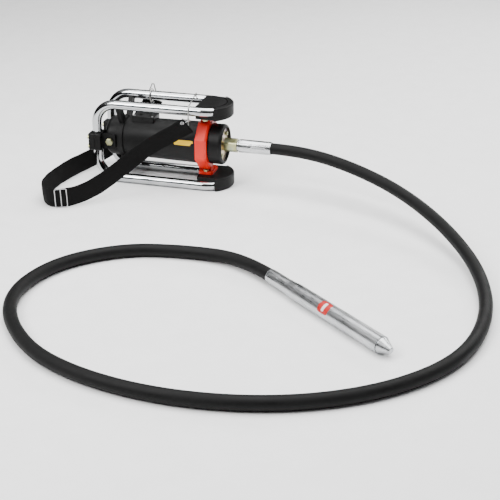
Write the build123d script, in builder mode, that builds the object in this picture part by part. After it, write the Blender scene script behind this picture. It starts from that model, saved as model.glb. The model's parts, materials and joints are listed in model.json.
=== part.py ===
"""Portable electric concrete vibrator: motor in a tube frame, flexible shaft in a hose, and vibrating head.

Row frame: origin on the floor under the middle of the motor frame, +X along the motor shaft
towards the hose, +Y away from the side with the strap, +Z up. Millimetres.
"""

import os
from math import atan2, degrees, radians, sin, tan

from build123d import *

os.makedirs("parts", exist_ok=True)

# ---- driving dimensions -------------------------------------------------------------------

# tube frame
tube_d = 25.0
tube_wall = 2.0
frame_height = 204.0  # between the centre lines of the upper and lower rails
rail_spacing = 106.0  # between the centre lines of the two rails of a hairpin
frame_front_x = 192.0
frame_rear_x = -192.0
rear_bend_r = 55.0
bumper_skin = 4.5  # rubber in front of the tube
bumper_height = 34.0
bumper_rear_x = 105.0
bumper_wrap_x = 158.0  # from here forward the rubber wraps the outside of the bend
sleeve_length = 44.0

# clamps on the rear legs
clamp_height = 46.0
clamp_half_width = 24.0
clamp_plate = 4.5  # metal behind the tube
clamp_head = 4.0  # screw head standing behind the clamp
clamp_screw_d = 6.0
clamp_screw_offset = 18.3
clamp_screw_bite = 7.5  # thread reaching past the middle of the tube
clamp_split = 1.0
arm_thickness = 8.0
arm_front_x = -118.0
arm_bolt_x = -134.0
arm_bolt_d = 8.0
arm_bolt_head_d = 20.0
arm_bolt_head_h = 6.0

# motor housing and covers
housing_rear_r = 53.0
housing_front_r = 56.0
spigot_r = 52.0
housing_wall = 4.0
housing_rear_x = -101.0
housing_front_x = 105.0
rear_spigot = 16.0
front_spigot = 32.0
rear_cover_x = -154.0
rear_cover_r = 52.5
front_cover_x = 173.0
front_cover_r = 54.0
cover_wall = 4.0
rim_wall = 8.0
recess_depth = 8.0
flange_thickness = 8.0
hub_r = 16.5
hub_length = 6.0

# collar and rear band
collar_width = 30.0
collar_flats = 128.0
collar_neck = 22.0
collar_plate = 7.0
collar_plate_width = 56.0
collar_plate_length = 40.0
collar_bolt_d = 8.0
collar_bolt_spacing = 40.0
collar_bolt_bite = 14.0
band_width = 14.0
band_r = 57.0
band_lug_width = 20.0

# rotor, stator and bearings
shaft_r = 6.0
core_length = 100.0
rotor_core_r = 26.0
air_gap = 0.6
commutator_x = -92.0
commutator_length = 24.0
commutator_r = 18.0
brush_width = 10.0
fan_x = 70.0
fan_width = 18.0
fan_r = 42.0
bearing_r = 16.0
bearing_width = 10.0
rear_bearing_x = -112.0
front_bearing_x = 102.0
shield_thickness = 14.0
socket_x = 118.0
socket_length = 28.0
socket_bore = 16.0  # depth of the rotor shaft in the socket
socket_r = 11.0

# switch box
switch_x = -51.5
switch_length = 62.0
switch_width = 48.0
switch_top = 64.5  # above the motor axis
switch_cover_height = 9.0
rocker_length = 26.0
rocker_width = 15.0
rocker_off_tilt = 8.0
rocker_pivot_r = 1.6
seal_width = 2.2
seal_depth = 1.6

# hose, flexible shaft and fittings
hose_d = 30.0
hose_bore = 17.0
flex_shaft_d = 12.0
nut_flats = 35.0
nut_length = 34.0
ferrule_d = 36.0
ferrule_end_d = 35.0
ferrule_length = 87.0
ferrule_neck = 4.5
crimp_depth = 1.4
ferrule_end_x = 297.0

# vibrating head
head_d = 38.0
head_wall = 4.0
head_ferrule_length = 66.0
head_ferrule_d = 33.0
adapter_length = 38.0
head_tube_length = 266.0
tip_length = 28.0
tip_flat_r = 6.0
weight_r = 13.5
head_bearing_width = 12.0
head_bearing_gap = 6.0
seal_length = 6.0

# carrying strap and its wire
strap_width = 52.0
strap_thickness = 3.0
strap_lean = -22.0  # turn of the webbing at its front end
buckle_lean = -4.2  # turn of the webbing where the buckle sits
buckle_rod = 2.6
wire_d = 2.2

# clearances
running_gap = 0.05  # radial, shaft in a bore or parts that slide into each other
seat_gap = 0.1  # between parts that seat on each other
rubber_gap = 0.1

# ---- derived places -----------------------------------------------------------------------

tube_r = tube_d / 2
axis_z = frame_height / 2 + tube_r
rail_y = rail_spacing / 2
rear_leg_x = frame_rear_x + clamp_head + clamp_plate + tube_r
front_bend_x = frame_front_x - bumper_skin - tube_r - rail_y
bumper_r = rail_y + tube_r + bumper_skin
bumper_inner_z = frame_height / 2 + tube_r - bumper_height  # height over the axis of the bumper's inner face
housing_bore_r = spigot_r - housing_wall
motor_axis = Axis((0, 0, axis_z), (1, 0, 0))
head_r = head_d / 2

# centre line of the hose on the floor, from the motor ferrule to the head ferrule
hose_route = [
    (ferrule_end_x, 0, axis_z),
    (380, 0, axis_z),
    (513, -44, 104),
    (654, -114, 79),
    (783, -240, 50),
    (880, -410, 26),
    (913, -598, 15.2),
    (876, -785, 15.2),
    (756, -930, 15.2),
    (587, -1024, 15.2),
    (387, -1060, 15.2),
    (195, -1036, 15.2),
    (37, -960, 15.2),
    (-88, -793, 15.2),
    (-68, -611, 15.2),
    (61, -487, 15.2),
    (213, -458, 15.2),
    (352, -471, head_r),
    (433, -538, head_r),
]

# centre line of the strap: front rail, buckle on the floor, round behind the frame, rear rail
strap_route = [
    (92, -72, 183),
    (48, -80, 158),
    (-20, -100, 118),
    (-75, -140, 72),
    (-120, -200, 40),
    (-165, -252, 27),
    (-222, -276, 26.2),
    (-262, -232, 26.2),
    (-266, -150, 26.2),
    (-256, -60, 26.2),
    (-225, 30, 28),
    (-180, 98, 50),
    (-110, 104, 110),
    (-56, 77, 198),
]


def section_plane(x):
    """Plane across the motor axis at x, with its local y up."""
    return Plane(origin=(x, 0, axis_z), x_dir=(0, 1, 0), z_dir=(1, 0, 0))


head_start = Vector(*hose_route[-1])
head_direction = (head_start - Vector(*hose_route[-2])).normalized()


def head_plane(distance):
    """Plane across the head at a distance from the end of the hose."""
    return Plane(
        origin=head_start + head_direction * distance,
        x_dir=Vector(0, 0, 1).cross(head_direction),
        z_dir=head_direction,
    )


def side_plane(y):
    """Plane along the motor axis facing the strap side, local x forward and local y up."""
    return Plane(origin=(0, y, axis_z), x_dir=(1, 0, 0), z_dir=(0, -1, 0))


def save(piece, label):
    piece.part.label = label
    export_step(piece.part, f"parts/{label}.step")


def ring(plane, length, outer_r, inner_r=0.0):
    """Plain disc or ring standing on a plane."""
    with BuildPart() as piece:
        with BuildSketch(plane):
            Circle(outer_r)
            if inner_r > 0:
                Circle(inner_r, mode=Mode.SUBTRACT)
        extrude(amount=length)
    return piece


def corner_radii(route):
    """Largest tangent arc that each corner of a route allows."""
    radii = []
    for before, corner, after in zip(route, route[1:], route[2:]):
        run_in = Vector(*corner) - Vector(*before)
        run_out = Vector(*after) - Vector(*corner)
        turn = radians(run_in.get_angle(run_out))
        radii.append(0.45 * min(run_in.length, run_out.length) / tan(turn / 2))
    return radii


# ---- tube frame ---------------------------------------------------------------------------


def hairpin_path(side):
    """Centre line of one bent tube; side is +1 for the upper one and -1 for the lower one."""
    rail_z = axis_z + side * frame_height / 2
    bend_z = rail_z - side * rear_bend_r
    bend_x = rear_leg_x + rear_bend_r
    diagonal = rear_bend_r * sin(radians(45))
    with BuildLine() as path:
        Line((rear_leg_x, -rail_y, axis_z), (rear_leg_x, -rail_y, bend_z))
        ThreePointArc(
            (rear_leg_x, -rail_y, bend_z),
            (bend_x - diagonal, -rail_y, bend_z + side * diagonal),
            (bend_x, -rail_y, rail_z),
        )
        Line((bend_x, -rail_y, rail_z), (front_bend_x, -rail_y, rail_z))
        ThreePointArc(
            (front_bend_x, -rail_y, rail_z),
            (front_bend_x + rail_y, 0, rail_z),
            (front_bend_x, rail_y, rail_z),
        )
        Line((front_bend_x, rail_y, rail_z), (bend_x, rail_y, rail_z))
        ThreePointArc(
            (bend_x, rail_y, rail_z),
            (bend_x - diagonal, rail_y, bend_z + side * diagonal),
            (rear_leg_x, rail_y, bend_z),
        )
        Line((rear_leg_x, rail_y, bend_z), (rear_leg_x, rail_y, axis_z))
    return path.wire()


def hairpin(side, outer_r, inner_r=0.0):
    """Bent tube, or a solid rod along the same line for cutting the pieces that fit round it."""
    with BuildPart() as piece:
        with BuildSketch(Plane(origin=(rear_leg_x, -rail_y, axis_z), z_dir=(0, 0, side))):
            Circle(outer_r)
            if inner_r > 0:
                Circle(inner_r, mode=Mode.SUBTRACT)
        sweep(path=hairpin_path(side))
    return piece


tube_cutters = {}
for side, label in ((1, "upper_frame_tube"), (-1, "lower_frame_tube")):
    frame_tube = hairpin(side, tube_r, tube_r - tube_wall)
    save(frame_tube, label)
    tube_cutters[side] = hairpin(side, tube_r + rubber_gap).part

with BuildPart() as frame_joint_sleeves:
    with BuildSketch(Plane.XY.offset(axis_z - sleeve_length / 2)):
        with Locations((rear_leg_x, -rail_y), (rear_leg_x, rail_y)):
            Circle(tube_r - tube_wall - running_gap)
            Circle(tube_r - 2 * tube_wall, mode=Mode.SUBTRACT)
    extrude(amount=sleeve_length)
save(frame_joint_sleeves, "frame_joint_sleeves")


def bumper(side):
    """Rubber block that fills the bend of a hairpin and wraps its front."""
    face_z = axis_z + side * bumper_inner_z
    with BuildPart() as piece:
        with BuildSketch(Plane.XY.offset(face_z)):
            with Locations((front_bend_x, 0)):
                Circle(bumper_r)
            with Locations((bumper_wrap_x - bumper_r, 0)):
                Rectangle(2 * bumper_r, 2 * bumper_r, mode=Mode.SUBTRACT)
            with Locations((bumper_rear_x, 0)):
                Rectangle(
                    bumper_wrap_x - bumper_rear_x,
                    2 * rail_y - 6,
                    align=(Align.MIN, Align.CENTER),
                )
        extrude(amount=side * bumper_height)
        fillet(piece.edges().filter_by(GeomType.CIRCLE), radius=4)
        with BuildSketch(Plane.XY.offset(face_z)):
            with Locations((bumper_rear_x + collar_width / 2 + 2, 0)):
                with GridLocations(0, collar_bolt_spacing, 1, 2):
                    Circle(collar_bolt_d / 2 + seat_gap)
        extrude(amount=side * (collar_bolt_bite + 1), mode=Mode.SUBTRACT)
        add(tube_cutters[side], mode=Mode.SUBTRACT)
    return piece


for side, label in ((1, "upper_bumper"), (-1, "lower_bumper")):
    save(bumper(side), label)

# ---- rear clamps --------------------------------------------------------------------------

clamp_back_x = frame_rear_x + clamp_head
screw_points = [
    (side * (rail_y + offset), z)
    for side in (1, -1)
    for offset in (-clamp_screw_offset, clamp_screw_offset)
    for z in (-13, 13)
]
arm_outer_y = spigot_r + 1 + arm_thickness

with BuildPart() as clamp_caps:
    with BuildSketch(section_plane(clamp_back_x)):
        with Locations((-rail_y, 0), (rail_y, 0)):
            RectangleRounded(2 * clamp_half_width, clamp_height, 4)
        with Locations(*screw_points):
            Circle(clamp_screw_d / 2 + seat_gap, mode=Mode.SUBTRACT)
    extrude(amount=rear_leg_x - clamp_split / 2 - clamp_back_x)
    for cutter in tube_cutters.values():
        add(cutter, mode=Mode.SUBTRACT)
save(clamp_caps, "clamp_caps")

with BuildPart() as clamp_arms:
    with BuildSketch(section_plane(rear_leg_x + clamp_split / 2)):
        with Locations((-rail_y, 0), (rail_y, 0)):
            RectangleRounded(2 * clamp_half_width, clamp_height, 4)
        with Locations(*screw_points):
            Circle(clamp_screw_d / 2 + seat_gap, mode=Mode.SUBTRACT)
    extrude(amount=tube_r + 3)
    with BuildSketch(side_plane(-arm_outer_y)):
        with Locations(((rear_leg_x + arm_front_x) / 2, 0)):
            RectangleRounded(arm_front_x - rear_leg_x, clamp_height - 6, 5)
        with Locations((arm_bolt_x, 0)):
            Circle(arm_bolt_d / 2 + seat_gap, mode=Mode.SUBTRACT)
    extrude(amount=-arm_thickness)
    mirror(clamp_arms.part, about=Plane.XZ)
    with BuildSketch(section_plane(rear_cover_x - 1.5)):
        Circle(arm_outer_y - arm_thickness)
    extrude(amount=arm_front_x - rear_cover_x, mode=Mode.SUBTRACT)
    for cutter in tube_cutters.values():
        add(cutter, mode=Mode.SUBTRACT)
save(clamp_arms, "clamp_arms")

with BuildPart() as clamp_screws:
    with BuildSketch(section_plane(frame_rear_x)):
        with Locations(*screw_points):
            RegularPolygon(radius=5, side_count=6, major_radius=False)
    extrude(amount=clamp_head - seat_gap)
    with BuildSketch(section_plane(frame_rear_x)):
        with Locations(*screw_points):
            Circle(clamp_screw_d / 2)
    extrude(amount=rear_leg_x + clamp_screw_bite - frame_rear_x)
save(clamp_screws, "clamp_screws")

with BuildPart() as arm_bolts:
    with BuildSketch(side_plane(-arm_outer_y - seat_gap)):
        with Locations((arm_bolt_x, 0)):
            RegularPolygon(radius=arm_bolt_head_d / 2 - 1, side_count=6, major_radius=False)
    extrude(amount=arm_bolt_head_h)
    chamfer(arm_bolts.faces().sort_by(Axis.Y)[0].edges(), length=1)
    with BuildSketch(side_plane(-arm_outer_y - seat_gap)):
        with Locations((arm_bolt_x, 0)):
            Circle(arm_bolt_d / 2)
    extrude(amount=-arm_thickness - 8)
    mirror(arm_bolts.part, about=Plane.XZ)
save(arm_bolts, "arm_bolts")

# ---- motor housing and covers -------------------------------------------------------------

rear_spigot_x = housing_rear_x - rear_spigot
front_spigot_x = housing_front_x + front_spigot

with BuildPart() as motor_housing:
    with BuildSketch(side_plane(0)):
        with BuildLine():
            Polyline(
                (rear_spigot_x, housing_bore_r),
                (rear_spigot_x, spigot_r),
                (housing_rear_x, spigot_r),
                (housing_rear_x, housing_rear_r),
                (housing_front_x, housing_front_r),
                (housing_front_x, spigot_r),
                (front_spigot_x, spigot_r),
                (front_spigot_x, housing_bore_r),
                close=True,
            )
        make_face()
    revolve(axis=motor_axis)
save(motor_housing, "motor_housing")

arm_boss_r = arm_bolt_d / 2 + 6

with BuildPart() as rear_cover:
    with BuildSketch(section_plane(rear_cover_x)):
        Circle(rear_cover_r)
    extrude(amount=rear_spigot_x - seat_gap - rear_cover_x)
    fillet(rear_cover.faces().sort_by(Axis.X)[0].edges(), radius=14)
    with BuildSketch(side_plane(0)):
        with Locations((arm_bolt_x, 0)):
            RectangleRounded(2 * arm_boss_r, clamp_height - 12, 5)
    extrude(amount=spigot_r + 1 - seat_gap, both=True)
    with BuildSketch(section_plane(rear_cover_x + cover_wall)):
        Circle(rear_cover_r - cover_wall - 2)
    extrude(amount=rear_spigot_x - rear_cover_x, mode=Mode.SUBTRACT)
    with BuildSketch(section_plane(rear_cover_x)):
        with PolarLocations(30, 10, start_angle=18):
            SlotOverall(16, 4)
        with Locations((0, -18)):
            Circle(8 + seat_gap)
    extrude(amount=cover_wall + 1, mode=Mode.SUBTRACT)
    with BuildSketch(side_plane(0)):
        with Locations((arm_bolt_x, 0)):
            Circle(arm_bolt_d / 2 + seat_gap)
    extrude(amount=rear_cover_r + 5, both=True, mode=Mode.SUBTRACT)
save(rear_cover, "rear_cover")

with BuildPart() as front_cover:
    with BuildSketch(section_plane(front_spigot_x + seat_gap)):
        Circle(front_cover_r)
    extrude(amount=front_cover_x - front_spigot_x - seat_gap)
    fillet(front_cover.faces().sort_by(Axis.X)[-1].edges(), radius=9)
    with BuildSketch(section_plane(front_spigot_x)):
        Circle(front_cover_r - rim_wall)
    extrude(amount=front_cover_x - front_spigot_x, mode=Mode.SUBTRACT)
save(front_cover, "front_cover")

flange_face_x = front_cover_x - recess_depth
flange_r = front_cover_r - rim_wall - seat_gap

with BuildPart() as output_flange:
    with BuildSketch(section_plane(flange_face_x - flange_thickness)):
        Circle(flange_r)
    extrude(amount=flange_thickness)
    with BuildSketch(section_plane(flange_face_x)):
        Circle(hub_r)
    extrude(amount=hub_length)
    chamfer(output_flange.faces().sort_by(Axis.X)[-1].edges(), length=1)
    with BuildSketch(section_plane(flange_face_x + hub_length)):
        Circle(hub_r - 4)
    extrude(amount=nut_length / 2)
    with BuildSketch(section_plane(flange_face_x - flange_thickness)):
        Circle(hose_bore / 2)
        with PolarLocations(33, 4, start_angle=45):
            Circle(3)
    extrude(amount=flange_thickness + hub_length + nut_length, mode=Mode.SUBTRACT)
save(output_flange, "output_flange")

with BuildPart() as flange_screws:
    with BuildSketch(section_plane(flange_face_x + seat_gap)):
        with PolarLocations(33, 4, start_angle=45):
            Circle(5)
    extrude(amount=5)
    fillet(flange_screws.faces().sort_by(Axis.X)[-4:].edges(), radius=1)
    with BuildSketch(section_plane(flange_face_x + 3)):
        with PolarLocations(33, 4, start_angle=45):
            RegularPolygon(radius=2.6, side_count=6)
    extrude(amount=5, mode=Mode.SUBTRACT)
    with BuildSketch(section_plane(flange_face_x + seat_gap)):
        with PolarLocations(33, 4, start_angle=45):
            Circle(3 - seat_gap)
    extrude(amount=-flange_thickness - 8)
save(flange_screws, "flange_screws")

with BuildPart() as cable_gland:
    with BuildSketch(section_plane(rear_cover_x + cover_wall + 6)):
        with Locations((0, -18)):
            Circle(8)
    extrude(amount=-cover_wall - 6 - seat_gap)
    with BuildSketch(section_plane(rear_cover_x - seat_gap)):
        with Locations((0, -18)):
            RegularPolygon(radius=11, side_count=6, major_radius=False)
    extrude(amount=-7)
    with BuildSketch(section_plane(rear_cover_x - 7)):
        with Locations((0, -18)):
            Circle(9)
    extrude(amount=-13, taper=12)
    with BuildSketch(section_plane(frame_rear_x)):
        with Locations((0, -18)):
            Circle(4.5)
    extrude(amount=60, mode=Mode.SUBTRACT)
save(cable_gland, "cable_gland")

# ---- collar and rear band -----------------------------------------------------------------

collar_rear_x = housing_front_x + seat_gap
plate_face = bumper_inner_z - seat_gap
collar_bolt_x = bumper_rear_x + collar_width / 2 + 2
bolt_points = [(collar_bolt_x, -collar_bolt_spacing / 2), (collar_bolt_x, collar_bolt_spacing / 2)]

with BuildPart() as front_collar:
    with BuildSketch(section_plane(collar_rear_x)):
        RegularPolygon(radius=collar_flats / 2, side_count=8, major_radius=False, rotation=22.5)
    extrude(amount=collar_width)
    chamfer(front_collar.faces().sort_by(Axis.X)[-1].edges(), length=4)
    with BuildSketch(section_plane(collar_rear_x + 2)):
        Rectangle(collar_neck, 2 * plate_face - 1)
    extrude(amount=collar_width - 4)
    for side in (1, -1):
        with BuildSketch(Plane.XY.offset(axis_z + side * (plate_face - collar_plate))):
            with Locations((collar_bolt_x, 0)):
                RectangleRounded(collar_plate_length, collar_plate_width, 6)
        extrude(amount=side * collar_plate)
    with BuildSketch(section_plane(collar_rear_x)):
        Circle(spigot_r + seat_gap)
    extrude(amount=collar_plate_length + 10, both=True, mode=Mode.SUBTRACT)
    with BuildSketch(Plane.XY):
        with Locations(*bolt_points):
            Circle(collar_bolt_d / 2 + seat_gap)
    extrude(amount=2 * axis_z, mode=Mode.SUBTRACT)
save(front_collar, "front_collar")

with BuildPart() as collar_bolts:
    for side in (1, -1):
        head_z = axis_z + side * (plate_face - collar_plate - seat_gap)
        with BuildSketch(Plane.XY.offset(head_z)):
            with Locations(*bolt_points):
                RegularPolygon(radius=6.5, side_count=6, major_radius=False)
        extrude(amount=-side * 5.5)
        with BuildSketch(Plane.XY.offset(head_z)):
            with Locations(*bolt_points):
                Circle(collar_bolt_d / 2)
        extrude(amount=side * (collar_plate + collar_bolt_bite))
save(collar_bolts, "collar_bolts")

lug_angle = degrees(atan2(rail_y, frame_height / 2))
lug_angles = [90 - lug_angle, 90 + lug_angle, 270 - lug_angle, 270 + lug_angle]

with BuildPart() as rear_band:
    with BuildSketch(section_plane(housing_rear_x - seat_gap - band_width)):
        Circle(band_r)
    extrude(amount=band_width)
    with BuildSketch(section_plane(housing_rear_x - seat_gap - band_width + 1)):
        for angle in lug_angles:
            with Locations(Location((0, 0, 0), (0, 0, angle))):
                Rectangle(
                    (rail_y**2 + (frame_height / 2) ** 2) ** 0.5,
                    band_lug_width,
                    align=(Align.MIN, Align.CENTER),
                )
    extrude(amount=band_width - 2)
    with BuildSketch(section_plane(housing_rear_x - band_width - 1)):
        Circle(spigot_r + seat_gap)
    extrude(amount=band_width + 2, mode=Mode.SUBTRACT)
    for cutter in tube_cutters.values():
        add(cutter, mode=Mode.SUBTRACT)
save(rear_band, "rear_band")

# ---- stator, rotor and bearings -----------------------------------------------------------


def save_bearings(name, plane_at, starts, width, inner_r, outer_r):
    """Write the races and balls of two like bearings that start at places along one axis."""
    race = (outer_r - inner_r) * 0.28
    sizes = (
        ("inner", inner_r + race, inner_r + running_gap),
        ("outer", outer_r - running_gap, outer_r - race),
    )
    for which, rim_r, bore_r in sizes:
        with BuildPart() as races:
            for start in starts:
                with BuildSketch(plane_at(start)):
                    Circle(rim_r)
                    Circle(bore_r, mode=Mode.SUBTRACT)
                extrude(amount=width)
        save(races, f"{name}_{which}_races")
    with BuildPart() as balls:
        for start in starts:
            with Locations(plane_at(start + width / 2)):
                with PolarLocations((inner_r + outer_r) / 2, 8):
                    Sphere((outer_r - inner_r) / 2 - race - running_gap)
    save(balls, f"{name}_balls")


save_bearings(
    "motor_bearing", section_plane, (rear_bearing_x, front_bearing_x), bearing_width, shaft_r, bearing_r
)

for label, start in (("rear_bearing_plate", rear_bearing_x), ("front_bearing_plate", front_bearing_x)):
    with BuildPart() as bearing_plate:
        with BuildSketch(section_plane(start - (shield_thickness - bearing_width) / 2)):
            Circle(housing_bore_r - running_gap)
            Circle(bearing_r, mode=Mode.SUBTRACT)
            with PolarLocations(33, 6):
                SlotOverall(18, 9, rotation=90, mode=Mode.SUBTRACT)
        extrude(amount=shield_thickness)
    save(bearing_plate, label)

stator_bore_r = rotor_core_r + air_gap

with BuildPart() as stator_core:
    with BuildSketch(section_plane(-core_length / 2)):
        Circle(housing_bore_r - running_gap)
        Circle(stator_bore_r, mode=Mode.SUBTRACT)
        with PolarLocations(37, 2, start_angle=90):
            SlotOverall(40, 9, rotation=90, mode=Mode.SUBTRACT)
    extrude(amount=core_length)
save(stator_core, "stator_core")

with BuildPart() as stator_windings:
    for end_x in (-core_length / 2 - 14, core_length / 2 + seat_gap):
        with BuildSketch(section_plane(end_x)):
            Circle(43)
            Circle(29, mode=Mode.SUBTRACT)
        extrude(amount=14 - seat_gap)
    fillet(stator_windings.edges().filter_by(GeomType.CIRCLE), radius=3)
save(stator_windings, "stator_windings")

with BuildPart() as rotor_shaft:
    with BuildSketch(section_plane(rear_bearing_x - 4)):
        Circle(shaft_r)
    extrude(amount=socket_x + socket_bore - seat_gap - rear_bearing_x + 4)
save(rotor_shaft, "rotor_shaft")

with BuildPart() as armature_core:
    with BuildSketch(section_plane(-core_length / 2)):
        Circle(rotor_core_r)
        Circle(shaft_r + running_gap, mode=Mode.SUBTRACT)
        with PolarLocations(rotor_core_r, 12):
            Rectangle(14, 3, mode=Mode.SUBTRACT)
    extrude(amount=core_length)
save(armature_core, "armature_core")

with BuildPart() as armature_windings:
    for end_x in (-core_length / 2 - 14, core_length / 2 + seat_gap):
        with BuildSketch(section_plane(end_x)):
            Circle(rotor_core_r - 3)
            Circle(shaft_r + 1, mode=Mode.SUBTRACT)
        extrude(amount=14 - seat_gap)
save(armature_windings, "armature_windings")

with BuildPart() as commutator:
    with BuildSketch(section_plane(commutator_x)):
        Circle(commutator_r)
        Circle(shaft_r + running_gap, mode=Mode.SUBTRACT)
        with PolarLocations(commutator_r, 24):
            Rectangle(4, 0.8, mode=Mode.SUBTRACT)
    extrude(amount=commutator_length)
save(commutator, "commutator")

brush_x = commutator_x + commutator_length / 2

with BuildPart() as carbon_brushes:
    with BuildSketch(side_plane(-commutator_r - running_gap)):
        with Locations((brush_x, 0)):
            Rectangle(brush_width, brush_width - 2)
    extrude(amount=16)
    mirror(carbon_brushes.part, about=Plane.XZ)
save(carbon_brushes, "carbon_brushes")

with BuildPart() as brush_holders:
    with BuildSketch(side_plane(-commutator_r - 3)):
        with Locations((brush_x, 0)):
            RectangleRounded(brush_width + 6, brush_width + 4, 1.5)
            Rectangle(brush_width + 2 * seat_gap, brush_width - 2 + 2 * seat_gap, mode=Mode.SUBTRACT)
    extrude(amount=housing_bore_r - commutator_r - 5)
    mirror(brush_holders.part, about=Plane.XZ)
save(brush_holders, "brush_holders")

with BuildPart() as cooling_fan:
    with BuildSketch(section_plane(fan_x)):
        Circle(fan_r)
        Circle(shaft_r + running_gap, mode=Mode.SUBTRACT)
    extrude(amount=2.5)
    with BuildSketch(section_plane(fan_x)):
        Circle(12)
        Circle(shaft_r + running_gap, mode=Mode.SUBTRACT)
        with PolarLocations(27, 9):
            Rectangle(28, 2.2, rotation=24)
    extrude(amount=fan_width)
save(cooling_fan, "cooling_fan")

with BuildPart() as drive_socket:
    with BuildSketch(section_plane(socket_x)):
        Circle(socket_r)
    extrude(amount=socket_length)
    chamfer(drive_socket.faces().sort_by(Axis.X)[-1].edges(), length=1)
    with BuildSketch(section_plane(socket_x)):
        Circle(shaft_r + running_gap)
    extrude(amount=socket_bore, mode=Mode.SUBTRACT)
    with BuildSketch(section_plane(socket_x + socket_bore)):
        Circle(flex_shaft_d / 2 + 0.4)
    extrude(amount=socket_length, mode=Mode.SUBTRACT)
save(drive_socket, "drive_socket")

# ---- switch -------------------------------------------------------------------------------

switch_top_z = axis_z + switch_top
cover_z = switch_top_z - switch_cover_height
pivot_z = switch_top_z - 4.5
pocket_length = rocker_length + 3
pocket_width = rocker_width + 1.2

with BuildPart() as housing_envelope:
    with BuildSketch(section_plane(housing_rear_x)):
        Circle(housing_rear_r + seat_gap)
    with BuildSketch(section_plane(housing_front_x)):
        Circle(housing_front_r + seat_gap)
    loft()

with BuildPart() as switch_box:
    with BuildSketch(Plane.XY.offset(axis_z + spigot_r * 0.8)):
        with Locations((switch_x, 0)):
            RectangleRounded(switch_length, switch_width, 3)
    extrude(amount=cover_z - axis_z - spigot_r * 0.8)
    with BuildSketch(Plane.XY.offset(cover_z)):
        with Locations((switch_x, 0)):
            Rectangle(pocket_length, pocket_width)
            with GridLocations(switch_length - 12, switch_width - 12, 2, 2):
                Circle(1.5)
    extrude(amount=-4, mode=Mode.SUBTRACT)
    add(housing_envelope.part, mode=Mode.SUBTRACT)
save(switch_box, "switch_box")

with BuildPart() as switch_cover:
    with BuildSketch(Plane.XY.offset(cover_z)):
        with Locations((switch_x, 0)):
            RectangleRounded(switch_length, switch_width, 3)
    extrude(amount=switch_cover_height)
    fillet(switch_cover.faces().sort_by(Axis.Z)[-1].edges(), radius=1.5)
    with BuildSketch(Plane.XY.offset(cover_z)):
        with Locations((switch_x, 0)):
            Rectangle(pocket_length, pocket_width)
            with GridLocations(0, switch_width, 1, 2):
                Rectangle(seal_width, 2 * seal_depth)
            with GridLocations(switch_length - 12, switch_width - 12, 2, 2):
                Circle(1.6)
    extrude(amount=switch_cover_height, mode=Mode.SUBTRACT)
    with BuildSketch(Plane.XZ.offset(-pocket_width / 2 - 4)):
        with Locations((switch_x, pivot_z)):
            Circle(rocker_pivot_r + running_gap)
    extrude(amount=pocket_width + 8, mode=Mode.SUBTRACT)
save(switch_cover, "switch_cover")

with BuildPart() as switch_seals:
    with BuildSketch(Plane.XY.offset(cover_z + seat_gap)):
        with Locations((switch_x, 0)):
            with GridLocations(0, switch_width - seal_depth + 0.4, 1, 2):
                Rectangle(seal_width - 2 * seat_gap, seal_depth)
    extrude(amount=switch_cover_height - 1)
save(switch_seals, "switch_seals")

with BuildPart() as switch_screws:
    with BuildSketch(Plane.XY.offset(cover_z - 3.5)):
        with Locations((switch_x, 0)):
            with GridLocations(switch_length - 12, switch_width - 12, 2, 2):
                Circle(1.4)
    extrude(amount=switch_cover_height + 3.5)
    with BuildSketch(Plane.XY.offset(switch_top_z)):
        with Locations((switch_x, 0)):
            with GridLocations(switch_length - 12, switch_width - 12, 2, 2):
                Circle(2.8)
    extrude(amount=1.4)
save(switch_screws, "switch_screws")

with BuildPart() as rocker_pin:
    with BuildSketch(Plane.XZ.offset(-pocket_width / 2 - 3.5)):
        with Locations((switch_x, pivot_z)):
            Circle(rocker_pivot_r)
    extrude(amount=pocket_width + 7)
save(rocker_pin, "rocker_pin")

# the rocker is drawn level about its pivot and then laid over to its off position
rocker_half = rocker_length / 2

with BuildPart() as switch_rocker:
    with BuildSketch(Plane.XZ):
        with BuildLine():
            Polyline(
                (-rocker_half, 6.6), (-rocker_half, 1.5), (-5, -4), (5, -4), (rocker_half, 1.5), (rocker_half, 6.6)
            )
            ThreePointArc((-rocker_half, 6.6), (0, 4.4), (rocker_half, 6.6))
        make_face()
        Circle(rocker_pivot_r + running_gap, mode=Mode.SUBTRACT)
    extrude(amount=rocker_width / 2, both=True)
    fillet(switch_rocker.faces().sort_by(Axis.Z)[-1].edges().filter_by(GeomType.CIRCLE), radius=0.8)
switch_rocker.part = switch_rocker.part.rotate(Axis.Y, rocker_off_tilt).translate((switch_x, 0, pivot_z))
save(switch_rocker, "switch_rocker")

# ---- hose, flexible shaft and the fittings at the motor -----------------------------------

hose_radii = corner_radii(hose_route)
print("hose radii", [round(radius) for radius in hose_radii])


def swept_along(route, radii, outer_r, inner_r=0.0):
    """Round tube, or a rod, along straight runs joined by tangent arcs."""
    start = Vector(*route[0])
    with BuildPart() as piece:
        with BuildLine() as path:
            FilletPolyline(*route, radius=radii)
        with BuildSketch(Plane(origin=start, z_dir=Vector(*route[1]) - start)):
            Circle(outer_r)
            if inner_r > 0:
                Circle(inner_r, mode=Mode.SUBTRACT)
        sweep(path=path.wire())
    return piece, path.wire().length


hose, hose_length = swept_along(hose_route, hose_radii, hose_d / 2, hose_bore / 2)
save(hose, "hose")
hose_section = 3.14159265 * (hose_d**2 - hose_bore**2) / 4
print("hose length", round(hose_length), "volume ratio", round(hose.part.volume / (hose_section * hose_length), 4))

shaft_start = (socket_x + socket_bore + 1, 0, axis_z)
shaft_end = head_start + head_direction * (head_ferrule_length + adapter_length - 12)
shaft_route = [shaft_start] + hose_route[1:-1] + [tuple(shaft_end)]
flex_shaft, shaft_length = swept_along(shaft_route, hose_radii, flex_shaft_d / 2)
save(flex_shaft, "flex_shaft")
print("flexible shaft length", round(shaft_length))

nut_x = flange_face_x + hub_length + seat_gap

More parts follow.
